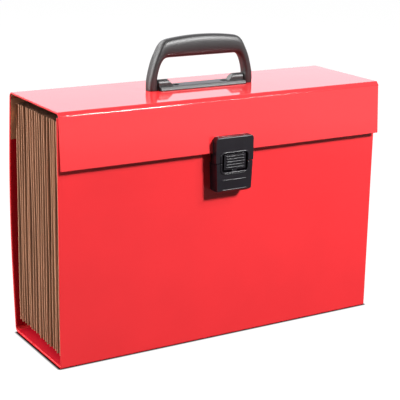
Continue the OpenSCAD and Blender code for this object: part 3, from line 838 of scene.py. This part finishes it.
class FILEBOX_OT_gussets(bpy.types.Operator):
    """Build the pleats of both gussets, one to each pocket and side"""

    bl_idname = "file_box.gussets"
    bl_label = "Gussets"

    # Rows of a pleat across it: how far each lies inside the outer fold, in millimetres
    INWARDS = (0.0, 0.13, 0.45, 0.9, 1.4, 2.2, 4.5, 9.0)
    TIP = 0.45 * MM
    ROWS = 18
    # Share of the folds that are squeezed in
    SQUEEZED = 0.22
    # How far a fold leans and drifts, as shares of the unevenness, and how far its foot strays
    LEAN, DRIFT, STRAY = 0.8, 0.45, 0.4 * MM
    # About a full turn of the drift's wave, in radians
    TURN = 6.3

    def pleat(self, k, side, chance):
        """The k-th pleat of one side."""
        pockets = settings("pockets")
        rear, front = fold_y(k - 1), fold_y(k)
        sunk = pockets.sunken if chance.random() < self.SQUEEZED and 1 < k < POCKETS else 0.0
        reach = GUSSET_HIGH.x - sunk - pockets.uneven * chance.random()
        lean = pockets.uneven * chance.uniform(-self.LEAN, self.LEAN)
        phase, waves = chance.uniform(0, self.TURN), chance.uniform(0.6, 1.5)
        top = GUSSET_HIGH.z
        lift = chance.uniform(-self.STRAY, self.STRAY)
        lift += pockets.foot_rise * (1 - (k - 1) / (POCKETS - 1))
        depth = reach - GUSSET_LOW.x
        steps = [*(step * MM for step in self.INWARDS), depth]
        steps = [*(-step for step in reversed(steps[1:])), *steps]

        def place(i, j):
            inwards, rise = abs(steps[i]), j / self.ROWS
            share = 1 - inwards / depth
            low = GUSSET_LOW.z + lift * share
            z = low + (top - low) * rise
            start = rear + (bow_at(z) if k == 1 else 0)
            drift = self.DRIFT * pockets.uneven * math.sin(phase + self.TURN * waves * rise)
            slump = pockets.slump * math.exp((1 - k) / 2) * (rise + 0.5)
            peak = (start + front) / 2 - slump + lean * (k > 1) + drift
            inner = start if i < len(steps) // 2 else front
            past = max(self.TIP - inwards, 0)
            y = peak + math.copysign(math.sqrt(self.TIP ** 2 - past ** 2), inner - peak)
            y += (inner - y) * max(inwards - self.TIP, 0) / (depth - self.TIP)
            return Vector((side * (reach - inwards + drift * share), y, z))

        bm = bmesh.new()
        fold = bm.verts.layers.float.new("fold")
        # fold: 1 at the tip, painted paler (wear and painted highlight); -1 inside, painted shade
        for vert in grid(bm, len(steps) - 1, self.ROWS, place):
            vert[fold] = max(-1.0, 1 - (reach - abs(vert.co.x)) / pockets.worn)
        thicken(bm, pockets.card, inside=Vector((0, (rear + front) / 2, top / 2)))
        hand = "left" if side < 0 else "right"
        piece = add_piece("pleat_%s_%02d" % (hand, k), bm, "kraft_card", None, ("gusset_" + hand,))
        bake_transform(piece)

    def execute(self, context):
        for side in (-1, 1):
            chance = random.Random(settings("pockets").seed + side)
            for k in range(1, POCKETS + 1):
                self.pleat(k, side, chance)
        return {"FINISHED"}


# Handle

# Bail, from its foot to its crown, in millimetres from the middle of the lid's handle: outer
# across and up, inner across and up, half its depth
BAIL = (
    (63.6, 0.0, 53.4, 0.0, 5.4),
    (64.0, 0.9, 53.1, 0.9, 6.1),
    (64.0, 6.5, 53.1, 6.5, 6.5),
    (63.1, 13.0, 53.6, 12.0, 6.7),
    (60.6, 23.0, 52.4, 19.0, 6.9),
    (57.7, 32.0, 50.4, 25.2, 7.0),
    (54.2, 39.6, 48.2, 29.2, 7.0),
    (50.6, 46.4, 45.6, 31.9, 7.0),
    (47.2, 50.2, 42.4, 33.2, 7.0),
    (42.4, 52.5, 38.0, 33.5, 7.0),
    (31.0, 54.2, 28.5, 33.5, 7.0),
    (15.5, 55.5, 14.5, 33.5, 7.0),
    (0.0, 55.9, 0.0, 33.5, 7.0),
)

# Rivet head, from its hole to its rim, in millimetres: out from its middle, and up
RIVET_HEAD = (
    (0.9, -0.9), (0.9, -0.25), (1.3, 0.0), (2.0, -0.05), (2.5, -0.3), (2.8, -0.7), (2.8, -0.9))


def between(rows, share):
    """A smooth row of values, a share of the way through the rows."""
    place = share * (len(rows) - 1)
    i = min(int(place), len(rows) - 2)
    t = place - i
    row = [rows[min(max(j, 0), len(rows) - 1)] for j in range(i - 1, i + 3)]
    return [
        0.5 * (2 * b + (c - a) * t + (2 * a - 5 * b + 4 * c - d) * t * t
               + (3 * b - 3 * c + d - a) * t ** 3)
        for a, b, c, d in zip(*row)
    ]


class FILEBOX_OT_handle(bpy.types.Operator):
    """Build the carrying handle: its bail, its base with two lugs, and the rivet heads"""

    bl_idname = "file_box.handle"
    bl_label = "Carrying handle"

    STATIONS = 96
    ROUND = 28
    RIVETS = (-30 * MM, 30 * MM)
    WELL_DEPTH = 2.6 * MM
    # Base: height of its bar and of the upright part of its sides, and the bevel's run
    BAR, RIM, BEVEL = 4 * MM, 1.2 * MM, 2 * MM
    # Lugs: width of the flat part, run of the slope at the inner end, and rounding
    LUG, SLOPE, LUG_EDGE = 12 * MM, 6 * MM, 0.8 * MM
    # How far the crown of a rivet head lies below the top of its solid
    CROWN_DROP = 1.3 * MM

    def bail(self, middle, top):
        """The bail, a squarish section carried from foot to foot."""
        power = 2 / settings("handle").squareness
        rows = [*BAIL, *((-a, b, -c, d, e) for a, b, c, d, e in BAIL[-2::-1])]

        def squared(value):
            return math.copysign(abs(value) ** power, value)

        def place(i, j):
            out_x, out_z, in_x, in_z, depth = between(rows, j / self.STATIONS)
            angle = 2 * math.pi * i / self.ROUND
            share = (1 + squared(math.cos(angle))) / 2
            y = middle + squared(math.sin(angle)) * depth * MM
            x, z = in_x + (out_x - in_x) * share, in_z + (out_z - in_z) * share
            return Vector((x * MM, y, top + z * MM))

        bm = bmesh.new()
        grid(bm, self.ROUND, self.STATIONS, place)
        bmesh.ops.remove_doubles(bm, verts=bm.verts[:], dist=WELD)
        bmesh.ops.holes_fill(bm, edges=[edge for edge in bm.edges if edge.is_boundary])
        add_piece(
            "bail", bm, "black_plastic", "handle", ("handle_grip",), crisp=math.radians(60))

    def sink_well(self, bm, centre, radius):
        """Sinks a round well into the flat top of the base."""
        cell = radius + 0.3 * MM
        for normal in ((1, 0, 0), (-1, 0, 0), (0, 1, 0), (0, -1, 0)):
            bmesh.ops.bisect_plane(
                bm, geom=bm.verts[:] + bm.edges[:] + bm.faces[:],
                plane_co=centre + Vector(normal) * cell, plane_no=normal)
        square = min(bm.faces, key=lambda face: (face.calc_center_median() - centre).length)
        bmesh.ops.bisect_edges(bm, edges=square.edges[:], cuts=5)
        circle = bmesh.ops.extrude_discrete_faces(bm, faces=[square])["faces"][0]
        for vert in circle.verts:
            vert.co = centre + (vert.co - centre).normalized() * radius
        floor = bmesh.ops.extrude_discrete_faces(bm, faces=[circle])["faces"][0]
        bmesh.ops.translate(bm, vec=(0, 0, -self.WELL_DEPTH), verts=floor.verts[:])

    def base(self, low, high):
        """The base: a low bar with bevelled sides, two rivet wells and two lugs."""
        handle = settings("handle")
        middle, half = (low.y + high.y) / 2, (high.y - low.y) / 2
        narrow, rim, bar = half - self.BEVEL, low.z + self.RIM, low.z + self.BAR
        side = ((-half, low.z), (half, low.z), (half, rim), (narrow, bar), (-narrow, bar),
                (-half, rim))
        bm = bmesh.new()
        draw_out(bm, [(low.x, middle + y, z) for y, z in side], (high.x - low.x, 0, 0))
        soften(bm, handle.base_edge, 2, math.radians(25))
        for x in self.RIVETS:
            self.sink_well(bm, Vector((x, middle, bar)), handle.well)
        pivot = PIVOTS["handle_pivot"].z
        radius = high.z - pivot
        dome = arc((middle, pivot), radius, 180, 0, 16)
        outline = [(middle - radius, rim), *dome, (middle + radius, rim)]
        for sign in (-1, 1):
            lug = bmesh.new()
            draw_out(
                lug, [(sign * high.x, y, z) for y, z in outline],
                (-sign * (self.LUG + self.SLOPE), 0, 0))
            cut_away(
                lug, (sign * (high.x - self.LUG), middle, high.z),
                (-sign * (high.z - bar), 0, self.SLOPE))
            soften(lug, self.LUG_EDGE, 3, math.radians(30))
            join(bm, lug)
        add_piece("handle_base_moulding", bm, "black_plastic", "lid", ("handle_base",))

    def rivets(self, low, high):
        """Domed heads of the tubular rivets, each with its rolled rim."""
        bm = bmesh.new()
        middle, top = (low.y + high.y) / 2, high.z - self.CROWN_DROP
        for x in self.RIVETS:
            verts = [bm.verts.new((x + r * MM, middle, top + h * MM)) for r, h in RIVET_HEAD]
            edges = [bm.edges.new(pair) for pair in zip(verts, verts[1:])]
            bmesh.ops.spin(
                bm, geom=verts + edges, cent=(x, middle, 0), axis=(0, 0, 1), angle=2 * math.pi,
                steps=24, use_merge=True)
        add_piece("rivet_heads", bm, "steel", "lid", ("handle_rivets",))

    def execute(self, context):
        low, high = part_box("handle_base")
        self.bail((low.y + high.y) / 2, low.z)
        self.base(low, high)
        self.rivets(*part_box("handle_rivets"))
        return {"FINISHED"}


# Latch


class FILEBOX_OT_latch(bpy.types.Operator):
    """Build the latch: the part on the flap, the part on the front, and the ribbed slider"""

    bl_idname = "file_box.latch"
    bl_label = "Latch"

    # How far the face lies behind the solid's, and how far up from the seam the window reaches
    FACE_DEPTH, WINDOW_RISE = 1.6 * MM, 9.5 * MM
    # Corners of the window and of the rim round it, how far the rim stands out, and its rounding
    WINDOW_CORNER, RIM_CORNER, RIM_PROUD, RIM_EDGE = 3 * MM, 4.6 * MM, 1.0 * MM, 0.8 * MM
    # Part on the flap: how much narrower it is, how far it sinks into the board, its bevel
    HASP_INSET, HASP_SUNK, HASP_BEVEL = 0.5 * MM, 0.3 * MM, 0.9 * MM
    # Part on the front: its gap at the seam, its plinth's depth behind the face, and how much
    # smaller the plinth is at its sides and its foot
    SEAM_GAP, PLINTH_DEPTH, PLINTH_SIDE, PLINTH_FOOT = 0.6 * MM, 7.8 * MM, 1 * MM, 2 * MM
    # Plate over the spring: how far before the spring its two faces lie, and how far it overlaps
    PLATE_FRONT, PLATE_BACK, PLATE_MARGIN = 0.4 * MM, 0.1 * MM, 1 * MM
    # Ridges below the window: how far below the seam, and half the width; how far each stands
    # out, and half its height
    RIDGES = ((12.2 * MM, 12.5 * MM), (18.5 * MM, 14 * MM), (29 * MM, 15 * MM))
    RIDGE_PROUD, HALF_RIDGE = 0.7 * MM, 0.6 * MM
    # Slider: half the widths of its pad, of the room between its blocks and of its ribs, and
    # half a rib's height
    PAD, ROOM, RIB, HALF_RIB = 13 * MM, 4 * MM, 11 * MM, 0.8 * MM
    # How far up from the seam the pad reaches, its thickness, and the room under its foot
    PAD_RISE, PAD_THICKNESS, FOOT_GAP = 8.5 * MM, 0.35 * MM, 0.3 * MM

    def frame_half(self, half, seam, end, window_end, face, back, bevel, taper=0.0):
        """One end of the latch, a plate open at the seam, with its half of the raised rim."""
        latch = settings("latch")
        opening, upward = latch.window[0] / 2, 1 if end > seam else -1
        window = (
            (opening, seam, 0), (opening, window_end, self.WINDOW_CORNER),
            (-opening, window_end, self.WINDOW_CORNER), (-opening, seam, 0))

        def round_window(width, far, corner, inwards=0.0):
            return rounded([
                (-width, seam, 0), (inwards - width, far, corner), (width - inwards, far, corner),
                (width, seam, 0), *window])

        bm = plate(round_window(half, end, latch.corner, taper), face, back)
        cut_away(bm, (0, face, end - upward * bevel), (0, -1, upward))
        soften(bm, latch.edge, 2, math.radians(30))
        rim = plate(
            round_window(opening + latch.rim, window_end + upward * latch.rim, self.RIM_CORNER),
            face - self.RIM_PROUD, face + 1 * MM)
        soften(rim, self.RIM_EDGE, 4, math.radians(30))
        join(bm, rim)
        return bm

    def hasp(self, low, high, face, window_top):
        """The part on the flap, above the seam."""
        bm = self.frame_half(
            high.x - self.HASP_INSET, low.z, high.z, window_top, face, high.y + self.HASP_SUNK,
            self.HASP_BEVEL)
        add_piece("hasp", bm, "black_plastic", "flap", ("latch_hasp",), "latch")

    def body(self, seam, face, window_foot):
        """The part on the front, with its plinth, its ridges and a plate over the spring."""
        latch = settings("latch")
        low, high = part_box("latch_base")
        bm = self.frame_half(
            high.x, seam - self.SEAM_GAP, low.z, window_foot, face, high.y, latch.bevel,
            latch.taper)
        plinth = high.x - self.PLINTH_SIDE
        add_bar(
            bm, (-plinth, plinth), (face + self.PLINTH_DEPTH, high.y),
            (low.z + self.PLINTH_FOOT, high.z), 0.5 * MM)
        for drop, half in self.RIDGES:
            z = seam - drop
            add_bar(
                bm, (-half, half), (face - self.RIDGE_PROUD, face + 0.5 * MM),
                (z - self.HALF_RIDGE, z + self.HALF_RIDGE), 0.55 * MM)
        low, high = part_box("latch_spring")
        margin = self.PLATE_MARGIN
        add_bar(
            bm, (low.x - margin, high.x + margin),
            (low.y - self.PLATE_FRONT, low.y - self.PLATE_BACK),
            (window_foot - margin, high.z + 0.2 * MM), 0.1 * MM)
        add_piece("latch_body", bm, "black_plastic", "front", ("latch_base",), "latch")

    def slider(self, seam, pad):
        """The slider: a thin pad on two blocks, which leave room for the spring, with ribs."""
        latch = settings("latch")
        low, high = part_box("latch_slider")
        foot, top, within = low.z + self.FOOT_GAP, seam + self.PAD_RISE, 0.2 * MM
        bm = bmesh.new()
        add_bar(
            bm, (-self.PAD, self.PAD), (pad, pad + self.PAD_THICKNESS), (foot, top), 0.12 * MM)
        outer = self.PAD - 0.1 * MM
        for across in ((-outer, -self.ROOM), (self.ROOM, outer)):
            add_bar(bm, across, (pad + within, high.y), (foot + within, top - within), 0.2 * MM)
        step = (top - foot - 2 * self.HALF_RIB) / latch.ribs
        for i in range(latch.ribs):
            z = foot + self.HALF_RIB + (i + 0.5) * step
            add_bar(
                bm, (-self.RIB, self.RIB), (pad - latch.rib_height, pad + within),
                (z - self.HALF_RIB, z + self.HALF_RIB), 0.5 * MM)
        add_piece("thumb_slider", bm, "black_plastic", "slider", ("latch_slider",), "latch")

    def execute(self, context):
        low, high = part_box("latch_hasp")
        seam, face, window_top = low.z, low.y + self.FACE_DEPTH, low.z + self.WINDOW_RISE
        self.hasp(low, high, face, window_top)
        self.body(seam, face, window_top - settings("latch").window[1])
        self.slider(seam, face - 0.1 * MM)
        return {"FINISHED"}


class FILEBOX_OT_fasteners(bpy.types.Operator):
    """Finish the steel parts that the frame already holds"""

    bl_idname = "file_box.fasteners"
    bl_label = "Pins, plates and spring"

    def execute(self, context):
        for part in frame["record"]["subparts"]:
            node = frame["nodes"][part["node"]]
            if part["material_slot"] == "steel" and not node.hide_render:
                node.data.materials.clear()
                node.data.materials.append(finish_for("steel"))
        return {"FINISHED"}


# Stage


def direction(azimuth, elevation):
    """From the box to what stands at an angle round it and above the floor, in radians."""
    level = math.cos(elevation)
    return Vector((math.sin(azimuth) * level, -math.cos(azimuth) * level, math.sin(elevation)))


class FILEBOX_OT_stage(bpy.types.Operator):
    """Set the floor, the lamps and the camera"""

    bl_idname = "file_box.stage"
    bl_label = "Stage"

    # How far the floor runs, and how far inside the base its opening stops
    FAR, INSET = 12, 3 * MM
    # How far out the glow painted into the floor's reflection starts, and is full
    PALER, PALE = 0.9, 2.2
    # How bright the camera sees the floor; 1 is white
    SEEN = 0.98
    # Name, azimuth, elevation, distance, width, height and colour of each lamp
    LAMPS = (
        ("key", 28, 36, 2.0, 0.28, 0.28, "FFFFFF"),
        ("fill", -98, 24, 1.5, 1.0, 1.0, "FFFFFF"),
        ("top", 43, 41, 1.5, 0.22, 0.22, "FFFFFF"),
        ("back", 149, 19, 1.6, 1.8, 0.8, "E8E8FF"),
        ("rear", -150, 45, 2.0, 1.4, 1.4, "FFFFFF"),
        ("under", 180, -62, 1.5, 1.0, 1.0, "FFFFFF"),
    )

    def floor(self, contact):
        """A wide pale floor that runs out of sight, clear from below and open under the box. It
        is seen as white but for a thin painted contact shadow, a dark maroon line round the base.
        Reflections see a painted glow on it that grows further out, so the floor mirrored near the box
        stays dark as painted shade."""
        hole = self.INSET
        xs = (-self.FAR, hole - HALF_WIDTH, HALF_WIDTH - hole, self.FAR)
        ys = (-self.FAR, BASE_LOW.y + hole, BASE_HIGH.y - hole, self.FAR)
        bm = bmesh.new()
        grid(bm, 3, 3, lambda i, j: Vector((xs[i], ys[j], 0)))
        under = min(bm.faces, key=lambda face: face.calc_area())
        bmesh.ops.delete(bm, geom=[under], context="FACES")
        floor = put_in_scene("floor", mesh_of("floor", bm))
        finish = bpy.data.materials.new("white_floor")
        floor.data.materials.append(finish)

        tree = emptied(finish)
        seen_by = add_node(tree, "LightPath").outputs
        place = add_node(tree, "TexCoord").outputs["Object"]
        away = add_node(tree, "VectorMath", {0: place}, operation="LENGTH")
        # Painted reflection: a glow that only glossy rays see, growing with distance from the box
        far = add_node(
            tree, "MapRange",
            {"Value": away, "From Min": self.PALER, "From Max": self.PALE, "To Max": 1.0})
        mirrored = add_node(
            tree, "Math", {0: seen_by["Is Glossy Ray"], 1: far}, operation="MULTIPLY")
        # Painted contact shadow: gap is the distance from the base's footprint, dark within the contact width
        middle = (BASE_LOW.y + BASE_HIGH.y) / 2
        gap = place
        for operation, other in (
                ("SUBTRACT", (0, middle, 0)), ("ABSOLUTE", (0, 0, 0)),
                ("SUBTRACT", (HALF_WIDTH, BASE_HIGH.y - middle, 0)), ("MAXIMUM", (0, 0, 0)),
                ("LENGTH", (0, 0, 0))):
            gap = add_node(tree, "VectorMath", {0: gap, 1: other}, operation=operation)
        beyond_painted_shadow = add_node(
            tree, "MapRange",
            {"Value": gap, "From Min": 1 * MM, "From Max": contact, "To Max": 1.0},
            interpolation_type="SMOOTHSTEP")
        seen = add_node(
            tree, "Math", {0: seen_by["Is Camera Ray"], 1: beyond_painted_shadow}, operation="MULTIPLY")
        glow = add_node(
            tree, "Math", {0: seen, 1: self.SEEN, 2: mirrored}, operation="MULTIPLY_ADD")
        # The painted contact shadow's colour is a dark maroon, and the camera's white glow fades there too
        tone = add_node(
            tree, "Mix", {0: beyond_painted_shadow, 6: paint("1A0507"), 7: paint("4A4A4A")}, data_type="RGBA")
        plain = add_node(tree, "BsdfDiffuse", {"Color": tone})
        bright = add_node(tree, "Emission", {"Color": paint("FFFFFF"), "Strength": glow})
        top = add_node(tree, "AddShader", {0: plain, 1: bright})
        clear = add_node(tree, "BsdfTransparent")
        below = add_node(tree, "NewGeometry").outputs["Backfacing"]
        mix = add_node(tree, "MixShader", {0: below, 1: top, 2: clear})
        add_node(tree, "OutputMaterial", {"Surface": mix})

    def world(self, ambient):
        """White surroundings, lighting the box softly and mirrored as a pale wall behind it and
        a dimmer room in front."""
        world = bpy.data.worlds.new("surroundings")
        bpy.context.scene.world = world
        tree = emptied(world)
        seen_by = add_node(tree, "LightPath").outputs
        place = add_node(tree, "TexCoord").outputs["Generated"]
        backwards = add_node(tree, "SeparateXYZ", {"Vector": place}).outputs["Y"]
        room = add_node(
            tree, "MapRange",
            {"Value": backwards, "From Min": -0.2, "From Max": 0.5, "To Min": 0.3, "To Max": 1.0})
        lit = add_node(tree, "Mix", {0: seen_by["Is Glossy Ray"], 2: ambient, 3: room})
        level = add_node(tree, "Mix", {0: seen_by["Is Camera Ray"], 2: lit, 3: 1.0})
        sky = add_node(tree, "Background", {"Color": paint("FFFFFF"), "Strength": level})
        add_node(tree, "OutputWorld", {"Surface": sky})

    def lamp(self, watts, name, azimuth, elevation, distance, width, height, colour):
        """A soft lamp that looks at the box from a direction in degrees."""
        data = bpy.data.lights.new(name, "AREA")
        data.color = paint(colour)[:3]
        data.shape, data.size, data.size_y, data.energy = "RECTANGLE", width, height, watts
        lamp = put_in_scene(name, data)
        lamp.visible_camera = False
        towards = direction(math.radians(azimuth), math.radians(elevation))
        lamp.location = INSIDE + towards * distance
        lamp.rotation_euler = (-towards).to_track_quat("-Z", "Y").to_euler()

    def camera(self, stage):
        """The camera, at the photograph's angle."""
        back = direction(stage.azimuth, stage.elevation)
        right = (-back).cross(Vector((0, 0, 1))).normalized()
        up = right.cross(-back)
        turned_right = right * math.cos(stage.roll) + up * math.sin(stage.roll)
        turned_up = up * math.cos(stage.roll) - right * math.sin(stage.roll)
        data = bpy.data.cameras.new("camera")
        data.sensor_width = 36
        data.lens = stage.focal_pixels / PHOTO_PIXELS * data.sensor_width
        camera = put_in_scene("camera", data)
        turn = Matrix((turned_right, turned_up, back)).transposed().to_4x4()
        camera.matrix_world = Matrix.Translation(Vector(stage.aim) + back * stage.distance) @ turn
        bpy.context.scene.camera = camera

    def execute(self, context):
        stage = settings("stage")
        context.scene.view_settings.view_transform = "Standard"
        self.floor(stage.contact)
        self.world(stage.ambient)
        for lamp in self.LAMPS:
            self.lamp(getattr(stage, lamp[0] + "_watts"), *lamp)
        self.camera(stage)
        return {"FINISHED"}


OPERATORS = (
    FILEBOX_OT_stage, FILEBOX_OT_cover, FILEBOX_OT_creases, FILEBOX_OT_linings,
    FILEBOX_OT_leaves, FILEBOX_OT_gussets, FILEBOX_OT_handle, FILEBOX_OT_latch,
    FILEBOX_OT_fasteners,
)


class FILEBOX_PT_panel(bpy.types.Panel):
    """Sidebar panel with the settings and the steps of the box"""

    bl_label = "File Box"
    bl_idname = "FILEBOX_PT_panel"
    bl_space_type = "VIEW_3D"
    bl_region_type = "UI"
    bl_category = "File Box"

    def draw(self, context):
        for name, group in SETTINGS.items():
            box = self.layout.box()
            box.label(text=group.__doc__)
            for setting in group.__annotations__:
                box.prop(getattr(context.scene, name), setting)
        for operator in OPERATORS:
            self.layout.operator(operator.bl_idname)


def register():
    for group in SETTINGS.values():
        bpy.utils.register_class(group)
    for name, group in SETTINGS.items():
        setattr(bpy.types.Scene, name, PointerProperty(type=group))
    for kind in (*OPERATORS, FILEBOX_PT_panel):
        bpy.utils.register_class(kind)


def unregister():
    for kind in (FILEBOX_PT_panel, *reversed(OPERATORS)):
        bpy.utils.unregister_class(kind)
    for name, group in SETTINGS.items():
        delattr(bpy.types.Scene, name)
        bpy.utils.unregister_class(group)


def main():
    """Builds the whole box."""
    register()
    for operator in OPERATORS:
        group, name = operator.bl_idname.split(".")
        getattr(getattr(bpy.ops, group), name)()


if __name__ == "__main__":
    main()
